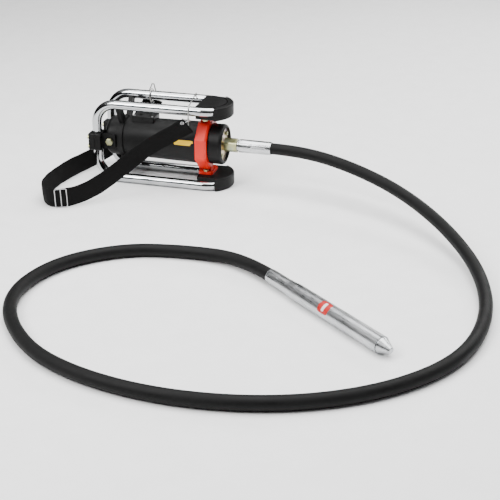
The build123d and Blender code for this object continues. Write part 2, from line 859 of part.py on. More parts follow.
with BuildPart() as coupling_nut:
    with BuildSketch(section_plane(nut_x)):
        RegularPolygon(radius=nut_flats / 2, side_count=6, major_radius=False, rotation=30)
    extrude(amount=nut_length)
    with BuildSketch(section_plane(nut_x)):
        Circle(nut_flats / 2 + 1.6)
    extrude(amount=nut_length, mode=Mode.INTERSECT)
    with BuildSketch(section_plane(nut_x)):
        Circle(hub_r - 4 + seat_gap)
    extrude(amount=nut_length / 2, mode=Mode.SUBTRACT)
    with BuildSketch(section_plane(nut_x)):
        Circle(hub_r - 6)
    extrude(amount=nut_length, mode=Mode.SUBTRACT)
save(coupling_nut, "coupling_nut")

ferrule_x = ferrule_end_x - ferrule_length


with BuildPart() as motor_ferrule:
    with BuildSketch(section_plane(ferrule_x)):
        Circle(ferrule_d / 2)
    with BuildSketch(section_plane(ferrule_end_x)):
        Circle(ferrule_end_d / 2)
    loft()
    chamfer(motor_ferrule.faces().sort_by(Axis.X)[0].edges(), length=1.2)
    with BuildSketch(section_plane(ferrule_x - ferrule_neck + seat_gap)):
        Circle(ferrule_d / 2 - 2.5)
    extrude(amount=ferrule_neck)
    for side in (-1, 1):
        with BuildSketch(side_plane(side * (ferrule_d / 2 - crimp_depth))):
            with Locations((ferrule_x + ferrule_length * 0.62, 0)):
                SlotOverall(42, 13)
                SlotOverall(36, 7, mode=Mode.SUBTRACT)
        extrude(amount=-side * 4, mode=Mode.SUBTRACT)
    with BuildSketch(section_plane(ferrule_x - ferrule_neck)):
        Circle(hose_bore / 2)
    extrude(amount=ferrule_length + ferrule_neck + 1, mode=Mode.SUBTRACT)
save(motor_ferrule, "motor_ferrule")

# ---- vibrating head -----------------------------------------------------------------------

adapter_start = head_ferrule_length
tube_start = adapter_start + adapter_length
tube_end = tube_start + head_tube_length
head_bore_r = head_r - head_wall
first_bearing = tube_start + seal_length + head_bearing_gap
second_bearing = tube_end - head_bearing_width - 20
thread_r = head_bore_r - seat_gap

with BuildPart() as head_ferrule:
    with BuildSketch(head_plane(seat_gap)):
        Circle(head_ferrule_d / 2)
    extrude(amount=head_ferrule_length - 2 * seat_gap)
    chamfer(head_ferrule.edges().filter_by(GeomType.CIRCLE), length=1.2)
    for side in (-1, 1):
        crimp_plane = Plane(
            origin=head_start + head_direction * 22,
            x_dir=head_direction,
            z_dir=head_plane(0).x_dir * side + Vector(0, 0, 0.9),
        )
        with BuildSketch(crimp_plane.offset(head_ferrule_d / 2 - crimp_depth)):
            SlotOverall(36, 15)
            SlotOverall(30, 9, mode=Mode.SUBTRACT)
        extrude(amount=4, mode=Mode.SUBTRACT)
    with BuildSketch(head_plane(0)):
        Circle(hose_bore / 2)
    extrude(amount=head_ferrule_length, mode=Mode.SUBTRACT)
save(head_ferrule, "head_ferrule")

with BuildPart() as head_adapter:
    with BuildSketch(head_plane(adapter_start)):
        Circle(head_ferrule_d / 2 + 0.6)
    extrude(amount=8)
    with BuildSketch(head_plane(adapter_start + 8)):
        Circle(head_ferrule_d / 2 + 0.6)
    with BuildSketch(head_plane(tube_start - 8)):
        Circle(head_r)
    loft()
    with BuildSketch(head_plane(tube_start - 8)):
        Circle(head_r)
    extrude(amount=8 - seat_gap)
    with BuildSketch(head_plane(tube_start - seat_gap)):
        Circle(thread_r)
    extrude(amount=5)
    with BuildSketch(head_plane(adapter_start - 1)):
        Circle(hose_bore / 2)
    extrude(amount=adapter_length + 10, mode=Mode.SUBTRACT)
save(head_adapter, "head_adapter")

save(ring(head_plane(tube_start), head_tube_length, head_r, head_bore_r), "head_tube")

with BuildPart() as head_tip:
    with BuildSketch(head_plane(tube_end + seat_gap)):
        Circle(head_r - 0.6)
    with BuildSketch(head_plane(tube_end + tip_length)):
        Circle(tip_flat_r)
    loft()
    fillet(head_tip.edges().filter_by(GeomType.CIRCLE), radius=1.5)
    with BuildSketch(head_plane(tube_end + 2)):
        Circle(thread_r)
    extrude(amount=-16)
save(head_tip, "head_tip")

save_bearings(
    "head_bearing", head_plane, (first_bearing, second_bearing), head_bearing_width, shaft_r, head_bore_r
)

save(
    ring(
        head_plane(first_bearing - seal_length - 0.5), seal_length, head_bore_r - running_gap, shaft_r + running_gap
    ),
    "head_oil_seal",
)

weight_start = first_bearing + head_bearing_width + 5
weight_length = second_bearing - 5 - weight_start

with BuildPart() as eccentric_weight:
    with BuildSketch(head_plane(weight_start)):
        Circle(weight_r)
        with Locations((0, weight_r + 1)):
            Rectangle(2 * weight_r, 2 * weight_r, mode=Mode.SUBTRACT)
        Circle(shaft_r + 2)
    extrude(amount=weight_length)
    with BuildSketch(head_plane(first_bearing - seal_length - 4)):
        Circle(shaft_r)
    extrude(amount=second_bearing + head_bearing_width + 2 - first_bearing + seal_length + 4)
save(eccentric_weight, "eccentric_weight")

# ---- carrying strap and wires -------------------------------------------------------------

strap_radii = corner_radii(strap_route)
print("strap radii", [round(radius) for radius in strap_radii])
strap_start = Vector(*strap_route[0])
strap_heading = Vector(*strap_route[1]) - strap_start

with BuildPart() as carry_strap:
    with BuildLine() as strap_line:
        FilletPolyline(*strap_route, radius=strap_radii)
    strap_across = strap_heading.cross(Vector(0, 0, 1))
    with BuildSketch(Plane(origin=strap_start, x_dir=strap_across, z_dir=strap_heading)):
        Rectangle(strap_thickness, strap_width, rotation=strap_lean)
    sweep(path=strap_line.wire())
save(carry_strap, "carry_strap")
strap_length = strap_line.wire().length
strap_volume = strap_width * strap_thickness * strap_length
print("strap length", round(strap_length), "volume ratio", round(carry_strap.part.volume / strap_volume, 4))

buckle_run = (Vector(*strap_route[6]) - Vector(*strap_route[5])).normalized()
buckle_out = buckle_run.cross(Vector(0, 0, -1)).normalized().rotate(Axis((0, 0, 0), buckle_run), buckle_lean)
buckle_height = strap_width + 1.5
buckle_stand = strap_thickness / 2 + 0.7
buckle_origin = (Vector(*strap_route[5]) + Vector(*strap_route[6])) * 0.5 + buckle_out * buckle_stand

with BuildPart() as strap_buckle:
    with BuildSketch(Plane(origin=buckle_origin, x_dir=buckle_run, z_dir=buckle_out)):
        with Locations((0, -0.9)):
            RectangleRounded(30, buckle_height, 3)
            RectangleRounded(30 - 2 * buckle_rod, buckle_height - 2 * buckle_rod, 1.5, mode=Mode.SUBTRACT)
    extrude(amount=buckle_rod)
save(strap_buckle, "strap_buckle")


def wire(points, radius, close=False):
    """Round steel wire bent along a line of points."""
    with BuildPart() as piece:
        with BuildLine() as path:
            FilletPolyline(*points, radius=radius, close=close)
        with BuildSketch(Plane(origin=path.wire() @ 0, z_dir=path.wire() % 0)):
            Circle(wire_d / 2)
        sweep(path=path.wire())
    return piece


rail_z = axis_z + frame_height / 2
wrap_r = tube_r + wire_d / 2 + 0.5  # wire laid round a rail
ring_y = rail_y + tube_r + wire_d / 2 + 0.9
ring_x = strap_route[-1][0]

ring_corners = [
    (ring_x - 16, ring_y, rail_z - 12),
    (ring_x + 16, ring_y, rail_z - 12),
    (ring_x + 4, ring_y, rail_z + 34),
]
save(wire(ring_corners, 3, close=True), "strap_ring")

with BuildPart() as strap_ring_tie:
    with Locations(Plane(origin=(ring_x + 4, rail_y, rail_z), z_dir=(1, 0, 0))):
        Torus(tube_r + wire_d + 1.3 + 0.6, wire_d / 2 - 0.2)
save(strap_ring_tie, "strap_ring_tie")

wire_rear_x = 72.0
wire_front_x = strap_route[0][0] - 1
knot_centre = (wire_front_x, -rail_y - wrap_r - 0.5, rail_z - 20)
wire_end_length = 11.0

with BuildPart() as strap_wire:
    rail_to_rail = wire(
        [
            (wire_rear_x, rail_y + wrap_r, rail_z - 8),
            (wire_rear_x, rail_y + wrap_r, rail_z + wrap_r),
            (wire_front_x, -rail_y - wrap_r, rail_z + wrap_r),
            (wire_front_x, -rail_y - wrap_r, rail_z - 17),
        ],
        wrap_r - 0.6,
    )
    add(rail_to_rail.part)
    for turn in ((1, 0, 0.4), (0.2, 0.1, 1)):
        with Locations(Plane(origin=knot_centre, z_dir=turn)):
            Torus(3.4, wire_d / 2)
    for heading in ((-0.7, -0.5, 0.2), (0.2, -0.5, -1)):
        with BuildSketch(Plane(origin=knot_centre, z_dir=heading).offset(2.5)):
            Circle(wire_d / 2)
        extrude(amount=wire_end_length)
save(strap_wire, "strap_wire")
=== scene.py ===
import json
from math import atan2, cos, pi, radians, sin

import bpy
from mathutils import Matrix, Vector


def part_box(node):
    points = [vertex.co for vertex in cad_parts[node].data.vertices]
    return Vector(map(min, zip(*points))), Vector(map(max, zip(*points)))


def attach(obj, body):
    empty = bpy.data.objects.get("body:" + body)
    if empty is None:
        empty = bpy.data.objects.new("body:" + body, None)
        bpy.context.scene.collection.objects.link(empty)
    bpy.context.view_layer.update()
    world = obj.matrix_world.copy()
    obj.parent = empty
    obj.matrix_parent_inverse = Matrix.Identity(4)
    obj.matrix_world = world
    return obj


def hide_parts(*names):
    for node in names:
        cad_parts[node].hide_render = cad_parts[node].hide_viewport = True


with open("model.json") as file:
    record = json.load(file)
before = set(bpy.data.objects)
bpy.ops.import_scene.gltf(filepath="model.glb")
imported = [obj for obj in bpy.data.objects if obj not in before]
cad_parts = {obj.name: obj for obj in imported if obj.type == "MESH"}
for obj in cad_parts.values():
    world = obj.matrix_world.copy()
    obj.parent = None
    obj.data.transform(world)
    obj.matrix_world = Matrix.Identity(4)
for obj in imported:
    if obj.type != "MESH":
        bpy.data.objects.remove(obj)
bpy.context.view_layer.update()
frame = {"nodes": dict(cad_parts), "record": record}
print("frame loaded")

scene = bpy.context.scene
mm = 0.001


# ways to build materials

def node(tree, kind, values=None, **settings):
    made = tree.nodes.new(kind)
    for name, value in settings.items():
        setattr(made, name, value)
    for name, value in (values or {}).items():
        if isinstance(value, bpy.types.NodeSocket):
            tree.links.new(value, made.inputs[name])
        else:
            made.inputs[name].default_value = value
    return made


def newFinish(name, **constants):
    finish = bpy.data.materials.new(name)
    finish.use_nodes = True
    shader = finish.node_tree.nodes["Principled BSDF"]
    for socket, value in constants.items():
        shader.inputs[socket.replace("_", " ")].default_value = value
    return finish, finish.node_tree, shader


def placed(tree, stretch=(1, 1, 1), turn=(0, 0, 0), output="Object"):
    # turned first, then stretched, so that marks can run along a slanted piece
    coords = node(tree, "ShaderNodeTexCoord").outputs[output]
    turned = node(tree, "ShaderNodeMapping", {"Vector": coords, "Rotation": turn}).outputs[0]
    return node(tree, "ShaderNodeMapping", {"Vector": turned, "Scale": stretch}).outputs[0]


def noise(tree, at, scale, detail=4.0, roughness=0.55):
    values = {"Vector": at, "Scale": scale, "Detail": detail, "Roughness": roughness}
    return node(tree, "ShaderNodeTexNoise", values).outputs["Fac"]


def ramp(tree, factor, stops):
    made = node(tree, "ShaderNodeValToRGB", {"Fac": factor})
    colours = made.color_ramp.elements
    while len(colours) < len(stops):
        colours.new(0.5)
    for colour, (place, shade) in zip(colours, stops):
        colour.position = place
        colour.color = (*shade, 1.0) if isinstance(shade, tuple) else (shade, shade, shade, 1.0)
    return made.outputs["Color"]


def spread(tree, factor, low, high, fromLow=0.3, fromHigh=0.7):
    values = {"Value": factor, "From Min": fromLow, "From Max": fromHigh, "To Min": low, "To Max": high}
    return node(tree, "ShaderNodeMapRange", values).outputs["Result"]


def bump(tree, height, strength, distance, under=None):
    values = {"Height": height, "Strength": strength, "Distance": distance}
    if under:
        values["Normal"] = under
    return node(tree, "ShaderNodeBump", values).outputs["Normal"]


def bands(tree, at, scale, distortion, direction):
    values = {"Vector": at, "Scale": scale, "Distortion": distortion}
    made = node(tree, "ShaderNodeTexWave", values, wave_type="BANDS", bands_direction=direction)
    return made.outputs["Fac"]


def feed(tree, shader, **sockets):
    for name, value in sockets.items():
        tree.links.new(value, shader.inputs[name.replace("_", " ")])


def chromeFinish():
    finish, tree, shader = newFinish("chromePlate", Metallic=1.0)
    at = placed(tree)
    smudge = noise(tree, at, 14, 5)
    scratches = noise(tree, placed(tree, (4, 60, 60)), 30, 3)
    feed(
        tree, shader,
        Base_Color=ramp(tree, smudge, [(0.3, (0.4, 0.41, 0.42)), (0.7, (0.56, 0.57, 0.58))]),
        Roughness=spread(tree, smudge, 0.05, 0.16),
        Normal=bump(tree, scratches, 0.06, 0.0002),
    )
    return finish


def steelFinish(name, dark, light, rough, turn=(0, 0, 0), stretch=(5, 90, 90), marks=0.12):
    finish, tree, shader = newFinish(name, Metallic=1.0)
    streaks = noise(tree, placed(tree, stretch, turn), 6, 6, 0.6)
    blotches = noise(tree, placed(tree), 9, 3)
    both = node(
        tree, "ShaderNodeMix", {"Factor": 0.45, "A": streaks, "B": blotches}, data_type="FLOAT"
    ).outputs["Result"]
    feed(
        tree, shader,
        Base_Color=ramp(tree, both, [(0.32, dark), (0.66, light)]),
        Roughness=spread(tree, both, rough - 0.1, rough + 0.12),
        Normal=bump(tree, streaks, marks, 0.0004),
    )
    return finish


def zincFinish(name, stops, rough):
    finish, tree, shader = newFinish(name, Metallic=1.0)
    at = placed(tree)
    drift = noise(tree, at, 45, 5, 0.6)
    grain = noise(tree, at, 900, 3)
    feed(
        tree, shader,
        Base_Color=ramp(tree, drift, stops),
        Roughness=spread(tree, drift, rough - 0.08, rough + 0.1),
        Normal=bump(tree, grain, 0.12, 0.0002),
    )
    return finish


def coatFinish(name, dark, light, rough, grainScale, grainDepth, **constants):
    finish, tree, shader = newFinish(name, **constants)
    at = placed(tree)
    cloud = noise(tree, at, 18, 4)
    grain = noise(tree, at, grainScale, 4, 0.6)
    feed(
        tree, shader,
        Base_Color=ramp(tree, cloud, [(0.3, dark), (0.7, light)]),
        Roughness=spread(tree, cloud, rough - 0.06, rough + 0.08),
        Normal=bump(tree, grain, grainDepth, 0.0004),
    )
    return finish


def rubberFinish(name, shade, rough):
    finish, tree, shader = newFinish(name, Specular_IOR_Level=0.16)
    at = placed(tree)
    dust = noise(tree, at, 26, 6, 0.65)
    grain = noise(tree, at, 1100, 3)
    feed(
        tree, shader,
        Base_Color=ramp(tree, dust, [(0.35, shade * 0.8), (0.62, shade * 1.15), (0.85, shade * 2.2)]),
        Roughness=spread(tree, dust, rough - 0.08, rough + 0.1),
        Normal=bump(tree, grain, 0.2, 0.0003),
    )
    return finish


def hoseFinish():
    finish, tree, shader = newFinish("hoseRubber", Specular_IOR_Level=0.16)
    at = placed(tree)
    cloth = bands(tree, placed(tree, turn=(0.3, 0.2, 0.8)), 120.0, 1.5, "DIAGONAL")
    dust = noise(tree, at, 16, 6, 0.7)
    grain = noise(tree, at, 700, 4, 0.65)
    relief = bump(tree, cloth, 0.16, 0.0005)
    feed(
        tree, shader,
        Base_Color=ramp(tree, dust, [(0.35, 0.0025), (0.6, 0.005), (0.8, 0.011)]),
        Roughness=spread(tree, dust, 0.5, 0.72),
        Normal=bump(tree, grain, 0.25, 0.0004, relief),
    )
    return finish


def webbingFinish():
    finish, tree, shader = newFinish("strapWebbing", Specular_IOR_Level=0.12)
    ribs = bands(tree, placed(tree, output="UV"), 95.0, 0.3, "Y")
    cords = bands(tree, placed(tree, output="UV"), 60.0, 0.2, "X")
    weave = node(tree, "ShaderNodeMath", {0: ribs, 1: cords}, operation="MULTIPLY").outputs[0]
    fuzz = noise(tree, placed(tree), 300, 4, 0.7)
    feed(
        tree, shader,
        Base_Color=ramp(tree, fuzz, [(0.35, 0.0022), (0.7, 0.006)]),
        Roughness=spread(tree, fuzz, 0.75, 0.95),
        Normal=bump(tree, fuzz, 0.2, 0.0003, bump(tree, weave, 0.6, 0.0006)),
    )
    return finish


# the vibrating head: where its axis starts, in millimetres, and the way it points
head = {"start": (433, -538, 19), "axis": (81, -67, 0), "radius": 0.019}
headTurn = -atan2(head["axis"][1], head["axis"][0])

wireNodes = ("strap_wire", "strap_ring", "strap_ring_tie")
headNodes = ("head_tube", "head_tip", "head_adapter", "head_ferrule")

greenZinc = [(0.3, (0.3, 0.29, 0.14)), (0.5, (0.46, 0.46, 0.26)), (0.7, (0.38, 0.44, 0.36))]
rainbowZinc = [
    (0.3, (0.5, 0.3, 0.28)), (0.45, (0.55, 0.46, 0.24)),
    (0.58, (0.52, 0.44, 0.46)), (0.72, (0.36, 0.24, 0.36)),
]
copperTones = [(0.3, (0.45, 0.17, 0.08)), (0.7, (0.8, 0.4, 0.22))]
castTones = [(0.3, (0.42, 0.43, 0.44)), (0.7, (0.66, 0.67, 0.68))]

finishes = {
    "chrome_tube": chromeFinish(),
    "black_rubber": rubberFinish("bumperRubber", 0.0055, 0.5),
    "red_coat": coatFinish(
        "redEnamel", (0.66, 0.011, 0.003), (0.8, 0.02, 0.005), 0.42, 260, 0.1,
        Coat_Weight=0.15, Specular_IOR_Level=0.3,
    ),
    "black_coat": coatFinish("blackCoat", 0.003, 0.006, 0.5, 1300, 0.3, Specular_IOR_Level=0.18),
    "black_plastic": coatFinish("blackPlastic", 0.004, 0.008, 0.45, 800, 0.15, Specular_IOR_Level=0.25),
    "yellow_zinc": zincFinish("yellowZinc", greenZinc, 0.34),
    "plain_steel": steelFinish("groundSteel", (0.36, 0.36, 0.37), (0.66, 0.66, 0.67), 0.3),
    "bright_steel": steelFinish("turnedSteel", (0.36, 0.37, 0.38), (0.74, 0.75, 0.76), 0.24),
    "hose_rubber": hoseFinish(),
    "webbing": webbingFinish(),
    "copper_winding": zincFinish("copperWire", copperTones, 0.36),
    "carbon": coatFinish("pressedCarbon", 0.02, 0.04, 0.6, 900, 0.2),
    "lamination": steelFinish(
        "laminations", (0.16, 0.16, 0.17), (0.36, 0.36, 0.38), 0.42, stretch=(260, 8, 8), marks=0.5,
    ),
    "cast_aluminium": zincFinish("castAluminium", castTones, 0.46),
}
# pieces that differ from the rest of their slot
pieceFinishes = {"output_flange": zincFinish("rainbowZinc", rainbowZinc, 0.32)}
wireSteel = steelFinish("wireSteel", (0.2, 0.2, 0.19), (0.5, 0.5, 0.48), 0.34)
for name in wireNodes:
    pieceFinishes[name] = wireSteel
headSteel = steelFinish(
    "headSteel", (0.3, 0.31, 0.32), (0.66, 0.67, 0.68), 0.3, (0, 0, headTurn), (6, 55, 55), 0.08
)
for name in headNodes:
    pieceFinishes[name] = headSteel

for part in frame["record"]["subparts"]:
    name = part["node"]
    for held in frame["nodes"][name].material_slots:
        held.material = pieceFinishes.get(name, finishes[part["material_slot"]])
print("materials on the frame's nodes")

# the wires are drawn a little fuller than their solids
for name in wireNodes:
    fuller = frame["nodes"][name].modifiers.new("fuller", "DISPLACE")
    fuller.strength = 0.0005
    fuller.mid_level = 0.0


# the camera, light and floor

view = {"lens": 79.2, "place": (0.9627, -2.6476, 1.110), "tilt": 64.7, "turn": 15.3}
cameraData = bpy.data.cameras.new("camera")
cameraData.lens = view["lens"]
camera = bpy.data.objects.new("camera", cameraData)
camera.location = view["place"]
camera.rotation_euler = (radians(view["tilt"]), 0, radians(view["turn"]))
scene.collection.objects.link(camera)
scene.camera = camera


def softLight(name, place, aim, size, power):
    lamp = bpy.data.lights.new(name, "AREA")
    lamp.shape = "RECTANGLE"
    lamp.size, lamp.size_y = size
    lamp.energy = power
    holder = bpy.data.objects.new(name, lamp)
    holder.location = place
    holder.rotation_euler = (Vector(aim) - Vector(place)).to_track_quat("-Z", "Y").to_euler()
    scene.collection.objects.link(holder)


softLight("keyLight", (-1.5, -2.2, 2.6), (0.2, -0.4, 0), (1.5, 1.5), 125)
softLight("overheadLight", (0.5, -0.2, 2.8), (0.4, -0.5, 0), (3.2, 2.4), 165)
softLight("rimLight", (1.6, 2.2, 1.6), (0.2, -0.3, 0.1), (2.4, 0.8), 60)

# a pale studio with a dark band just above the horizon, for the chrome to reflect
sky = {
    "strength": 0.9,
    "stops": [(0.3, 0.7), (0.485, 0.4), (0.51, 0.015), (0.76, 0.03), (0.88, 0.6), (1.0, 1.0)],
}
world = bpy.data.worlds.new("studio")
scene.world = world
world.use_nodes = True
skyTree = world.node_tree
skyAt = node(skyTree, "ShaderNodeTexCoord").outputs["Generated"]
upward = node(skyTree, "ShaderNodeSeparateXYZ", {"Vector": skyAt}).outputs["Z"]
lift = spread(skyTree, upward, 0.0, 1.0, -1.0, 1.0)
background = skyTree.nodes["Background"]
skyTree.links.new(ramp(skyTree, lift, sky["stops"]), background.inputs["Color"])
background.inputs["Strength"].default_value = sky["strength"]

ground = {"half": 9.0, "height": -0.0004}
groundCorners = [
    (x * ground["half"], y * ground["half"], ground["height"])
    for x, y in ((-1, -1), (1, -1), (1, 1), (-1, 1))
]
floorMesh = bpy.data.meshes.new("floor")
floorMesh.from_pydata(groundCorners, [], [(0, 1, 2, 3)])
floor = bpy.data.objects.new("floor", floorMesh)
scene.collection.objects.link(floor)
floorMesh.materials.append(coatFinish("paleFloor", (0.95, 0.95, 0.95), (0.99, 0.99, 0.99), 0.6, 30, 0.02))
print("camera, light and floor")


# ways to build pieces

def addPiece(name, data, body, slotName):
    piece = bpy.data.objects.new(name, data)
    scene.collection.objects.link(piece)
    if not data.materials:
        data.materials.append(finishes[slotName])
    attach(piece, body)
    return piece


def routeCurve(name, route, radius=0.0):
    curve = bpy.data.curves.new(name, "CURVE")
    curve.dimensions = "3D"
    curve.resolution_u = 12
    curve.bevel_depth = radius
    curve.bevel_resolution = 8
    spline = curve.splines.new("NURBS")
    spline.points.add(len(route) - 1)
    for point, place in zip(spline.points, route):
        point.co = (*[value * mm for value in place], 1.0)
    spline.order_u = 3
    spline.use_endpoint_u = True
    return curve


# hose: straight out of the ferrule, down to the floor, round the open coil and up to the head
hose = {
    "diameter": 0.030,
    "length": 3.02,
    "route": [
        (297, 0, 114.5), (380, 0, 114.5), (513, -44, 104), (654, -114, 79), (783, -240, 50), (880, -410, 26),
        (913, -598, 15.2), (876, -785, 15.2), (756, -930, 15.2), (587, -1024, 15.2), (387, -1060, 15.2),
        (195, -1036, 15.2), (37, -960, 15.2), (-88, -793, 15.2), (-68, -611, 15.2), (61, -487, 15.2),
        (213, -458, 15.2), (352, -471, 19), (433, -538, 19),
    ],
}
hoseCurve = routeCurve("hoseCover", hose["route"], hose["diameter"] / 2)
hosePiece = addPiece("hoseCover", hoseCurve, "motor_unit", "hose_rubber")
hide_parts("hose", "flex_shaft")
print("hose")


# strap: webbing from the wire at the front rail, round on the floor, up to the ring at the rear rail
strap = {
    "width": 0.052,
    "thickness": 0.0022,
    "length": 1.02,
    "lean": -22.0,
    "acrossSteps": 16,
    "cup": 0.0012,
    "flatShare": 0.86,
    "edgeBead": 0.0003,
    "edgeThinning": 0.3,
    "ripples": [(0.0006, 61, 0.0), (0.0004, 143, 1.3)],
    "floorGap": 0.0003,
    "hem": 0.032,
    "hemDrop": 1.15,
    "route": [
        (92, -72, 183), (48, -80, 158), (-20, -100, 118), (-75, -140, 72), (-120, -200, 40), (-165, -252, 27),
        (-222, -276, 26.2), (-262, -232, 26.2), (-266, -150, 26.2), (-256, -60, 26.2), (-225, 30, 28),
        (-180, 98, 50), (-110, 104, 110), (-56, 77, 198),
    ],
}


def readLine(route, step):
    # even places along the smooth line through a route
    guide = bpy.data.objects.new("guide", routeCurve("guide", route))
    scene.collection.objects.link(guide)
    mesh = bpy.data.meshes.new_from_object(guide.evaluated_get(bpy.context.evaluated_depsgraph_get()))
    dense = [vertex.co.copy() for vertex in mesh.vertices]
    bpy.data.objects.remove(guide)
    bpy.data.meshes.remove(mesh)
    total = sum((b - a).length for a, b in zip(dense, dense[1:]))
    count = round(total / step)
    gap = total / count
    places, travelled = [dense[0]], 0.0
    for a, b in zip(dense, dense[1:]):
        run = (b - a).length
        while run and travelled + run >= gap * len(places) - 1e-9 and len(places) < count:
            places.append(a.lerp(b, (gap * len(places) - travelled) / run))
        travelled += run
    return places + [dense[-1]]


def ribbonFrames(places, lean):
    # direction, width and face vectors, carried along without twisting
    ahead = [(b - a).normalized() for a, b in zip(places, places[1:])]
    ahead = [ahead[0]] + [(a + b).normalized() for a, b in zip(ahead, ahead[1:])] + [ahead[-1]]
    side = ahead[0].cross(Vector((0, 0, 1))).normalized()
    up = side.cross(ahead[0]).normalized()
    width = side * sin(radians(lean)) + up * cos(radians(lean))
    frames = []
    for direction in ahead:
        width = (width - direction * width.dot(direction)).normalized()
        frames.append((direction, width.copy(), width.cross(direction).normalized()))
    return frames


def ribbon(places, frames, first, last, offset):
    # one layer of webbing between two places, its section a flat band with fuller edges
    steps = strap["acrossSteps"]
    halfWidth = strap["width"] / 2
    flatShare = strap["flatShare"]
    verts, faces, uvs = [], [], []
    ringSize = 2 * (steps + 1)
    for index in range(first, last + 1):
        _, width, face = frames[index]
        along = index * stripStep
        ripple = sum(height * sin(along * rate + shift) for height, rate, shift in strap["ripples"])
        for layer in (1, -1):
            order = range(steps + 1) if layer == 1 else range(steps, -1, -1)
            for across in order:
                place = across / steps * 2 - 1
                edge = max(0.0, abs(place) - flatShare) / (1 - flatShare)
                bead = strap["edgeBead"] * sin(pi * edge)
                halfThick = strap["thickness"] * (0.5 - edge ** 4 * strap["edgeThinning"]) + bead
                bow = strap["cup"] * (1 - place ** 2) + ripple * place
                outward = offset + bow + layer * halfThick
                point = places[index] + width * (place * halfWidth) + face * outward
                point.z = max(point.z, strap["floorGap"])
                verts.append(point)
                uvs.append((place * halfWidth, along))
    for row in range(last - first):
        for column in range(ringSize):
            a = row * ringSize + column
            b = row * ringSize + (column + 1) % ringSize
            faces.append((a, b, b + ringSize, a + ringSize))
    faces.append(tuple(reversed(range(ringSize))))
    faces.append(tuple(range((last - first) * ringSize, (last - first + 1) * ringSize)))
    return verts, faces, uvs


def joinMesh(name, parts):
    verts, faces, uvs = [], [], []
    for partVerts, partFaces, partUvs in parts:
        faces += [tuple(corner + len(verts) for corner in face) for face in partFaces]
        verts += partVerts
        uvs += partUvs
    mesh = bpy.data.meshes.new(name)
    mesh.from_pydata(verts, [], faces)
    layer = mesh.uv_layers.new(name="weave")
    for loop in mesh.loops:
        layer.data[loop.index].uv = uvs[loop.vertex_index]
    mesh.polygons.foreach_set("use_smooth", [len(face.vertices) == 4 for face in mesh.polygons])
    return mesh


stripStep = 0.004
strapPlaces = readLine(strap["route"], stripStep)
strapFrames = ribbonFrames(strapPlaces, strap["lean"])
lastPlace = len(strapPlaces) - 1
hemSteps = round(strap["hem"] / stripStep)
layers = [ribbon(strapPlaces, strapFrames, 0, lastPlace, 0.0)]
for hemStart in (0, lastPlace - hemSteps):
    drop = -strap["thickness"] * strap["hemDrop"]
    layers.append(ribbon(strapPlaces, strapFrames, hemStart, hemStart + hemSteps, drop))
strapPiece = addPiece("strapWebbing", joinMesh("strapWebbing", layers), "motor_unit", "webbing")
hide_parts("carry_strap")
print("strap")


def boxMiddle(name):
    low, high = (Vector(corner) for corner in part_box(name))
    return (low + high) / 2


def wirePiece(name, loops, radius, body, slotName):
    curve = bpy.data.curves.new(name, "CURVE")
    curve.dimensions = "3D"
    curve.bevel_depth = radius
    curve.bevel_resolution = 4
    for places, closed in loops:
        spline = curve.splines.new("POLY")
        spline.points.add(len(places) - 1)
        for point, place in zip(spline.points, places):
            point.co = (*place, 1.0)
        spline.use_cyclic_u = closed
        spline.use_smooth = True
    return addPiece(name, curve, body, slotName)


# buckle: bent wire slider on the outside of the strap
buckle = {
    "halfLength": 0.0150,
    "halfHeight": 0.0255,
    "corner": 0.004,
    "wire": 0.0012,
    "stand": 0.0032,
    "rise": 0.0006,
    "barDrop": 0.0006,
}
buckleSpot = boxMiddle("strap_buckle")
buckleIndex = min(range(lastPlace), key=lambda index: (strapPlaces[index] - buckleSpot).length)


def buckleLoops():
    direction, width, face = strapFrames[buckleIndex]
    middle = strapPlaces[buckleIndex] + face * buckle["stand"] + width * buckle["rise"]
    reach = buckle["corner"]
    outline = []
    for quarter in range(4):
        signX = 1 if quarter in (0, 3) else -1
        signY = 1 if quarter in (0, 1) else -1
        x = signX * (buckle["halfLength"] - reach)
        y = signY * (buckle["halfHeight"] - reach)
        for step in range(6):
            turn = pi / 2 * (quarter + step / 5)
            outline.append(middle + direction * (x + reach * cos(turn)) + width * (y + reach * sin(turn)))
    bar = [middle - face * buckle["barDrop"] + width * (buckle["halfHeight"] * side) for side in (-1, 1)]
    return [(outline, True), (bar, False)]


bucklePiece = wirePiece("strapSlider", buckleLoops(), buckle["wire"], "motor_unit", "plain_steel")
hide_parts("strap_buckle")


# stitches: two rows across each hem and a row along each edge of it
stitch = {
    "length": 0.0030,
    "gap": 0.0015,
    "crown": 0.0003,
    "wire": 0.00035,
    "inset": 0.005,
    "outset": 0.0016,
    "frontLift": 0.3 * strap["cup"],
    "backLift": -0.9 * strap["thickness"],
}


def stitchRow(start, end, face):
    run = (end - start).length
    count = int(run / (stitch["length"] + stitch["gap"]))
    along = (end - start).normalized()
    rows = []
    for number in range(count):
        first = start + along * (number * run / count)
        crown = first + along * (stitch["length"] / 2) + face * stitch["crown"]
        rows.append(([first, crown, first + along * stitch["length"]], False))
    return rows


def hemStitches(first, last):
    rows = []
    reach = strap["width"] / 2 - stitch["inset"]
    for side, lift in ((1, stitch["frontLift"]), (-1, stitch["backLift"])):
        corners = []
        for index in (first, last):
            _, width, face = strapFrames[index]
            middle = strapPlaces[index] + face * (side * stitch["outset"] + lift)
            corners += [middle + width * reach, middle - width * reach]
        face = strapFrames[first][2] * side
        for start, end in ((0, 1), (2, 3), (0, 2), (1, 3)):
            rows += stitchRow(corners[start], corners[end], face)
    return rows


hemRows = hemStitches(1, hemSteps - 1) + hemStitches(lastPlace - hemSteps + 1, lastPlace - 1)
wirePiece("strapStitches", hemRows, stitch["wire"], "motor_unit", "webbing")


